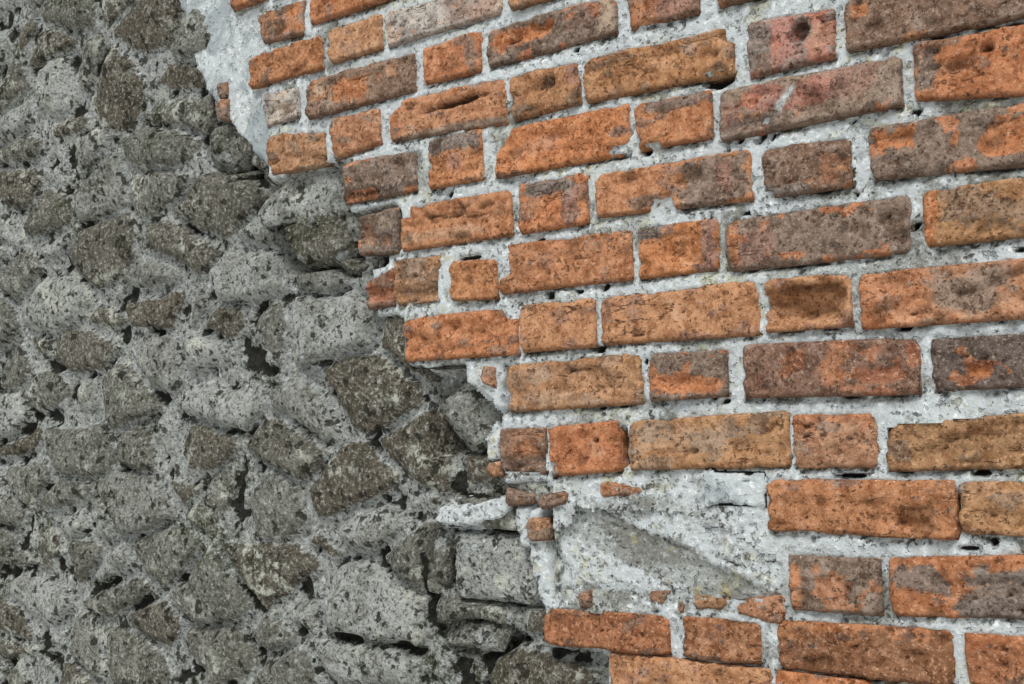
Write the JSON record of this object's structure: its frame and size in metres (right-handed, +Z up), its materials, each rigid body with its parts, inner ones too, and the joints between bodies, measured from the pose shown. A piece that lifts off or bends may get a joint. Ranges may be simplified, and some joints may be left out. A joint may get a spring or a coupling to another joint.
{
  "type": "brick garden wall",
  "caption": "Length of old brick garden wall in header and stretcher bond, its face broken away over a rubble stub.",
  "frame": {"origin": "middle of the wall's underside, on the ground", "axes": "+X along the wall to the plain end, the weathered brick face looks to -Y, +Z up"},
  "size_m": [3.4, 0.52, 2.337],
  "materials": {
    "old_brick": "rough, pitted and weathered orange to brown brick",
    "rubble_stone": "rough grey field stone and lime, with lichen and moss",
    "lime_mortar": "rough whitish lime mortar with dark grit"
  },
  "bodies": {
    "root": {"front_course_1": "old_brick", "front_course_2": "old_brick", "front_course_3": "old_brick", "front_course_4": "old_brick", "front_course_5": "old_brick", "front_course_6": "old_brick", "front_course_7": "old_brick", "front_course_8": "old_brick", "front_course_9": "old_brick", "front_course_10": "old_brick", "front_course_11": "old_brick", "front_course_12": "old_brick", "front_course_13": "old_brick", "front_course_14": "old_brick", "front_course_15": "old_brick", "front_course_16": "old_brick", "front_course_17": "old_brick", "front_course_18": "old_brick", "front_course_19": "old_brick", "front_course_20": "old_brick", "front_course_21": "old_brick", "front_course_22": "old_brick", "front_course_23": "old_brick", "front_course_24": "old_brick", "front_course_25": "old_brick", "rubble_lift_1": "rubble_stone", "rubble_lift_2": "rubble_stone", "rubble_lift_3": "rubble_stone", "rubble_lift_4": "rubble_stone", "rubble_lift_5": "rubble_stone", "back_lift_1": "old_brick", "back_lift_2": "old_brick", "back_lift_3": "old_brick", "back_lift_4": "old_brick", "back_lift_5": "old_brick", "end_return": "old_brick", "coping_front": "old_brick", "coping_back": "old_brick", "lime_smear": "lime_mortar", "repair_patch": "lime_mortar", "boulder_top": "rubble_stone", "boulder_upper": "rubble_stone", "boulder_middle": "rubble_stone", "boulder_lower": "rubble_stone", "boulder_foot": "rubble_stone"}
  },
  "joints": []
}
